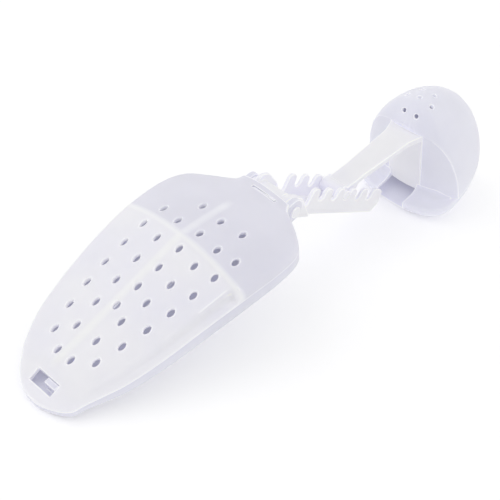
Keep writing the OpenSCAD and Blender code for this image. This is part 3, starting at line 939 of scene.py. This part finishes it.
class SHOETREE_OT_arm(ShoeTreeOperator, bpy.types.Operator):
    """Arm: a bar from the pin to the heel, and the plate that lies in the heel's front face"""
    bl_idname = "shoe_tree.arm"
    bl_label = "Arm"

    def execute(self, context):
        look = self.look()
        material = frosted("Frosted arm", look.rack, look.roughness)
        stand = stood()
        pin = pin_place()
        reach = Vector((PLATE_X - pin.x, JOINT_Z - pin.z))
        lean = Matrix.Rotation(math.atan2(-reach.y, reach.x), 4, "Y")
        bar_place = stand @ Matrix.Translation(pin) @ lean
        bar_l = reach.length
        flat = bar_place @ Matrix.Rotation(math.radians(90), 4, "X")
        half = [(-1.5, 5.7), (16, 5.7), (bar_l - 7, 7.2), (bar_l + 1.2, 9.5)]
        plan = rounded([(x, -w) for x, w in half] + [(x, w) for x, w in reversed(half)],
                       [0.4, 8, 6, 0, 0, 6, 8, 0.4], 6)
        arm = slab("arm_bar", plan, -1.5, 1.5, flat, 0.5)
        cut(arm, cross_rod("knuckle", 3.6, -5.7, 5.7, bar_place, bevel=0.3), "UNION")
        corners = [(2, 0.5), (bar_l + 1, 0.5), (bar_l + 1, -11), (bar_l - 4, -5), (12, -3)]
        rib = rounded(corners, [0, 0, 0, 5, 4])
        cut(arm, slab("rib", rib, -1, 1, bar_place, 0.3), "UNION")
        plate = block("plate", (PLATE_X - 1, -9.5, SEAM_Z), (PLATE_X + 2.8, 9.5, JOINT_Z + 1.5), stand, 0.35)
        cut(plate, bowed_front("front", 0.0, stand), "INTERSECT")
        cut(arm, plate, "UNION")
        low, high = (PLATE_X + 2.79, -10.7, SEAM_Z + 0.5), (PLATE_X + 4.2, 10.7, JOINT_Z - 2.5)
        cut(arm, block("flange", low, high, stand, 0.1), "UNION")
        pin_at = stand @ Matrix.Translation(pin)
        cut(arm, cross_rod("bore", 2.31, -BORE_REACH, BORE_REACH, pin_at, bevel=0))
        dress(arm, "heel", material, "arm")
        return {"FINISHED"}


def power_oval(a, b, power, steps):
    ring = []
    for k in range(steps):
        w = 2 * math.pi * k / steps
        c, s = math.cos(w), math.sin(w)
        x, y = math.copysign(abs(c) ** (2 / power), c), math.copysign(abs(s) ** (2 / power), s)
        ring.append((a * x, b * y))
    return ring


def dropped(x, y, z):
    """A point of the dome, lowered where the crown falls towards the front face."""
    if z <= SEAM_Z:
        return x, y, z
    t = max(DROP_X - max(x, PLATE_X), 0) / (DROP_X - PLATE_X)
    return x, y, SEAM_Z + (z - SEAM_Z) * (1 - FRONT_DROP * t * t)


def bow_x(y):
    return PLATE_X + FRONT_BOW - math.sqrt(FRONT_BOW ** 2 - y * y)


def bowed_front(name, setback, matrix):
    """Solid of all that lies behind the heel's bowed front face."""
    radius, sides = FRONT_BOW - setback, 240
    outline = [(radius * math.cos(2 * math.pi * k / sides), radius * math.sin(2 * math.pi * k / sides))
               for k in range(sides)]
    centre = matrix @ Matrix.Translation((PLATE_X + FRONT_BOW, 0, 0))
    upright = centre @ Matrix.Rotation(math.radians(90), 4, "X")
    return slab(name, outline, -110, 10, upright, 0)


def heel_dome(name, inset, base, matrix):
    """The heel's dome as a closed solid."""
    steps, rows = 96, 30
    verts = []
    for k in range(rows):
        h = math.sin(math.pi / 2 * k / rows)
        shrink = (1 - h ** DOME_POWER) ** (1 / DOME_POWER)
        z = SEAM_Z + (HEEL_H - inset) * h if k else base
        ring = power_oval((HEEL_L - inset) * shrink, (HEEL_W - inset) * shrink, PLAN_POWER, steps)
        verts += [dropped(HEEL_X + x, y, z) for x, y in ring]
    verts.append(dropped(HEEL_X, 0, SEAM_Z + HEEL_H - inset))
    faces = grid_faces(rows, steps, closed=True)
    faces.append(tuple(range(steps)))
    top, last = len(verts) - 1, (rows - 1) * steps
    faces += [(last + k, last + (k + 1) % steps, top) for k in range(steps)]
    return mesh_object(name, verts, faces, matrix)


def soften(obj, matrix, test, offset, segments=4):
    """Bevels the edges whose two ends pass a test on their place in the forefoot's frame."""
    back = matrix.inverted()
    bm = bmesh.new()
    bm.from_mesh(obj.data)
    bmesh.ops.dissolve_limit(bm, angle_limit=math.radians(0.5), verts=bm.verts, edges=bm.edges)
    edges = [e for e in bm.edges if len(e.link_faces) == 2 and e.calc_face_angle(0) > math.radians(20)
             and all(test(back @ v.co) for v in e.verts)]
    bmesh.ops.bevel(bm, geom=edges, offset=offset * MM, segments=segments, profile=0.5, affect="EDGES",
                    clamp_overlap=True)
    bm.to_mesh(obj.data)
    bm.free()
    tidy_mesh(obj)
    return obj


class SHOETREE_OT_heel_cap(ShoeTreeOperator, bpy.types.Operator):
    """Hollow dome of the heel with its bowed front and round vents"""
    bl_idname = "shoe_tree.heel_cap"
    bl_label = "Heel Cap"

    def execute(self, context):
        look = self.look()
        material = frosted("Frosted heel", look.heel, look.roughness, glow=HEEL_GLOW)
        stand = stood()
        cap = heel_dome("heel_cap_skin", 0.0, SEAM_Z, stand)
        cut(cap, bowed_front("front", 0.0, stand), "INTERSECT")
        soften(cap, stand, lambda p: abs(bow_x(p.y) - p.x) < 0.06 and p.z > SEAM_Z + 0.1, 2.2)
        inside = heel_dome("heel_inside", HEEL_WALL, SEAM_Z - 1, stand)
        cut(inside, bowed_front("front_wall", HEEL_WALL, stand), "INTERSECT")
        cut(cap, inside)
        low, high = (PLATE_X - 3, -9.7, SEAM_Z - 2), (PLATE_X + 2.6, 9.7, JOINT_Z + 1.7)
        cut(cap, block("plate_slot", low, high, stand, 0))
        turn = stand.to_3x3().normalized()
        places = []
        for row in (-1, 0, 1):
            count = 3 if row == 0 else 2
            for i in range(count):
                x, y = 235.5 + 7.3 * row, (i - (count - 1) / 2) * 7.3
                h = self.height(x, y)
                normal = Vector(((h - self.height(x + 1, y)), (h - self.height(x, y + 1)), 1)).normalized()
                places.append((stand @ Vector((x, y, h)), turn @ normal, turn @ Vector((1, 0, 0))))
        cut(cap, copies_on("heel_vents", places, round_cutter(1.1, 0.8), material))
        dress(cap, "heel", material, "heel_cap")
        return {"FINISHED"}

    @staticmethod
    def height(x, y):
        k = ((abs(x - HEEL_X) / HEEL_L) ** PLAN_POWER + (abs(y) / HEEL_W) ** PLAN_POWER) ** (1 / PLAN_POWER)
        return dropped(x, y, SEAM_Z + HEEL_H * (1 - k ** DOME_POWER) ** (1 / DOME_POWER))[2]


def base_solid(name, inset, levels, matrix):
    """The base as a closed solid: the heel's oval behind and a blunter round front."""
    steps = 96
    verts = []
    for z, draw in levels:
        e = draw + inset
        for k in range(steps):
            w = 2 * math.pi * k / steps
            c, s = math.cos(w), math.sin(w)
            power = PLAN_POWER if c >= 0 else FRONT_POWER
            y = (HEEL_W - e) * math.copysign(abs(s) ** (2 / power), s)
            if c >= 0:
                verts.append((HEEL_X + (HEEL_L - e) * c ** (2 / power), y, z))
            else:
                verts.append((HEEL_X - (FRONT_L - e) * (-c) ** (2 / power), y, z))
    faces = grid_faces(len(levels), steps, closed=True)
    n = len(levels) * steps
    faces += [tuple(range(steps)), tuple(range(n - steps, n))]
    return mesh_object(name, verts, faces, matrix)


def lobe_fillet(matrix):
    """Soft slope by which the front lobes rise to the cap's bowed face."""
    steps, verts = 44, []
    outline = [(0.5, -1.0), (0.5, 4.2), (-0.2, 4.0), (-0.7, 2.6), (-1.6, 1.3), (-3.0, 0.45), (-5.0, 0.0),
               (-5.0, -1.0)]
    for k in range(steps + 1):
        y = -25.6 + 51.2 * k / steps
        fade = 1 - 0.75 * smoothstep(18, 25.6, abs(y))
        verts += [(bow_x(y) + dx * (fade if dx < 0 else 1), y, SEAM_Z + dz * (fade if dz > 0 else 1))
                  for dx, dz in outline]
    count = len(outline)
    faces = grid_faces(steps + 1, count, closed=True)
    faces += [tuple(range(count)), tuple(range(steps * count, (steps + 1) * count))]
    return mesh_object("lobe_fillet", verts, faces, matrix)


class SHOETREE_OT_heel_base(ShoeTreeOperator, bpy.types.Operator):
    """Base of the heel with its front ledge and the opening for the rack's end"""
    bl_idname = "shoe_tree.heel_base"
    bl_label = "Heel Base"

    def execute(self, context):
        look = self.look()
        material = frosted("Frosted heel", look.heel, look.roughness, glow=HEEL_GLOW)
        stand = stood()
        levels = [(-76.0, 1.0), (-76.35, 0.55), (-77.0, 0.3), (-78.5, 0.32), (-80.2, 0.7), (-81.8, 1.45),
                  (-83.0, 2.4), (-83.9, 3.4), (-84.4, 4.4), (-84.5, 5.0)]
        base = base_solid("heel_base_skin", 0.0, levels, stand)
        inner_levels = [(-75.0, 0.4), (-78.5, 0.4), (-81.0, 1.2), (-82.8, 3.0)]
        inside = base_solid("base_inside", HEEL_WALL, inner_levels, stand)
        ledge = block("ledge", (180, -40, -77.7), (245, 40, -70), stand, 0)
        cut(ledge, bowed_front("behind_wall", HEEL_WALL, stand))
        cut(inside, ledge)
        cut(base, inside)
        cut(base, lobe_fillet(stand), "UNION")
        cut(base, block("opening", (200, -8.2, -82.8), (PLATE_X + 3.4, 8.2, -70), stand, 0))
        dress(base, "heel", material, "heel_base")
        return {"FINISHED"}


# Stage

def plain_surface(name, colour):
    """The floor: pale and matt, so that it takes the object's soft shadow, and white to the camera."""
    material = bpy.data.materials.new(name)
    material.use_nodes = True
    tree = material.node_tree
    shader = tree.nodes["Principled BSDF"]
    rays = node(tree, "ShaderNodeLightPath")
    seen = maths(tree, "MAXIMUM", rays.outputs["Is Camera Ray"], rays.outputs["Is Glossy Ray"])
    lift = node(tree, "ShaderNodeEmission", Color=(1, 1, 1, 1))
    tree.links.new(maths(tree, "MULTIPLY", seen, 0.14), lift.inputs["Strength"])
    both = node(tree, "ShaderNodeAddShader")
    tree.links.new(shader.outputs[0], both.inputs[0])
    tree.links.new(lift.outputs[0], both.inputs[1])
    tree.links.new(both.outputs[0], tree.nodes["Material Output"].inputs["Surface"])
    shader.inputs["Base Color"].default_value = (*colour, 1)
    shader.inputs["Roughness"].default_value = 0.9
    shader.inputs["Specular IOR Level"].default_value = 0.1
    return material


def area_light(name, place, target, size, power):
    data = bpy.data.lights.new(name, "AREA")
    data.shape = "RECTANGLE"
    data.size, data.size_y = size
    data.energy = power
    lamp = bpy.data.objects.new(name, data)
    bpy.context.scene.collection.objects.link(lamp)
    lamp.location = place
    lamp.rotation_euler = (Vector(target) - Vector(place)).to_track_quat("-Z", "Y").to_euler()
    return lamp


class SHOETREE_OT_stage(ShoeTreeOperator, bpy.types.Operator):
    """Floor, soft light and a camera at the photograph's angle"""
    bl_idname = "shoe_tree.stage"
    bl_label = "Stage"

    def execute(self, context):
        scene = context.scene
        corners = [(-6, -6, 0), (6, -6, 0), (6, 6, 0), (-6, 6, 0)]
        floor = mesh_object("floor", corners, [(0, 1, 2, 3)], Matrix())
        floor.data.materials.append(plain_surface("Plain floor", (0.98, 0.98, 0.98)))
        world = bpy.data.worlds.new("Soft studio")
        scene.world = world
        world.use_nodes = True
        tree = world.node_tree
        soft = tree.nodes["Background"]
        soft.inputs["Color"].default_value = (1, 1, 1, 1)
        soft.inputs["Strength"].default_value = 0.85
        white = node(tree, "ShaderNodeBackground", Strength=1.0)
        white.inputs["Color"].default_value = (1, 1, 1, 1)
        rays = node(tree, "ShaderNodeLightPath")
        direct = maths(tree, "MAXIMUM", rays.outputs["Is Camera Ray"], rays.outputs["Is Transmission Ray"])
        seen = maths(tree, "MAXIMUM", direct, rays.outputs["Is Glossy Ray"])
        mix = node(tree, "ShaderNodeMixShader")
        tree.links.new(seen, mix.inputs[0])
        tree.links.new(soft.outputs[0], mix.inputs[1])
        tree.links.new(white.outputs[0], mix.inputs[2])
        tree.links.new(mix.outputs[0], tree.nodes["World Output"].inputs["Surface"])
        area_light("Key", (-0.5, 0.55, 1.0), (0, 0, 0), (0.9, 0.9), 1.4)
        area_light("Fill", (0.4, -0.9, 0.5), (0, 0, 0), (0.8, 0.8), 0.4)
        self.camera(scene)
        scene.view_settings.view_transform = "Standard"
        return {"FINISHED"}

    def camera(self, scene):
        """Camera fitted to the photograph: a point of the forefoot, its pixel and its distance."""
        turn, rise, roll = (math.radians(v) for v in (-130.7, 51.3, 8.2))
        focal, pixel, distance, point = 1000.0, (155.0, 271.4), 389.6, Vector((67.0, 2.4, 8.0))
        back = Vector((math.cos(turn) * math.cos(rise), math.sin(turn) * math.cos(rise), math.sin(rise)))
        right = Vector((-math.sin(turn), math.cos(turn), 0))
        down = (-back).cross(right)
        c, s = math.cos(roll), math.sin(roll)
        right, down = c * right + s * down, -s * right + c * down
        offset = Vector(((pixel[0] - 250) / focal, (pixel[1] - 250) / focal, 1)) * distance
        eye = point - (right * offset.x + down * offset.y - back * offset.z)
        turn_world = stood().to_3x3().normalized()
        axes = Matrix((turn_world @ right, turn_world @ -down, turn_world @ back)).transposed()
        data = bpy.data.cameras.new("Camera")
        data.lens = 36.0 * focal / 500.0
        data.sensor_width = 36.0
        camera = bpy.data.objects.new("Camera", data)
        scene.collection.objects.link(camera)
        camera.matrix_world = Matrix.Translation(stood() @ eye) @ axes.to_4x4()
        scene.camera = camera


class SHOETREE_PT_panel(bpy.types.Panel):
    """Lists the pieces of the shoe tree"""
    bl_idname = "SHOETREE_PT_panel"
    bl_label = "Shoe Tree"
    bl_space_type = "VIEW_3D"
    bl_region_type = "UI"
    bl_category = "Shoe Tree"

    def draw(self, context):
        layout = self.layout
        for owner in (context.scene.shoe_tree_shell, context.scene.shoe_tree_look):
            for name in owner.bl_rna.properties.keys():
                if name not in ("rna_type", "name"):
                    layout.prop(owner, name)
        for operator in OPERATORS:
            layout.operator(operator.bl_idname)


OPERATORS = (SHOETREE_OT_top_shell, SHOETREE_OT_sole_shell, SHOETREE_OT_hinge_pin, SHOETREE_OT_rack,
             SHOETREE_OT_arm_pin, SHOETREE_OT_arm, SHOETREE_OT_heel_cap, SHOETREE_OT_heel_base,
             SHOETREE_OT_stage)
CLASSES = (ShellSize, PlasticLook) + OPERATORS + (SHOETREE_PT_panel,)


def register():
    for cls in CLASSES:
        bpy.utils.register_class(cls)
    bpy.types.Scene.shoe_tree_shell = PointerProperty(type=ShellSize)
    bpy.types.Scene.shoe_tree_look = PointerProperty(type=PlasticLook)


def unregister():
    del bpy.types.Scene.shoe_tree_look
    del bpy.types.Scene.shoe_tree_shell
    for cls in reversed(CLASSES):
        bpy.utils.unregister_class(cls)


def main():
    register()
    bpy.ops.shoe_tree.top_shell()
    bpy.ops.shoe_tree.sole_shell()
    bpy.ops.shoe_tree.hinge_pin()
    bpy.ops.shoe_tree.rack()
    bpy.ops.shoe_tree.arm_pin()
    bpy.ops.shoe_tree.arm()
    bpy.ops.shoe_tree.heel_cap()
    bpy.ops.shoe_tree.heel_base()
    bpy.ops.shoe_tree.stage()


if __name__ == "__main__":
    main()
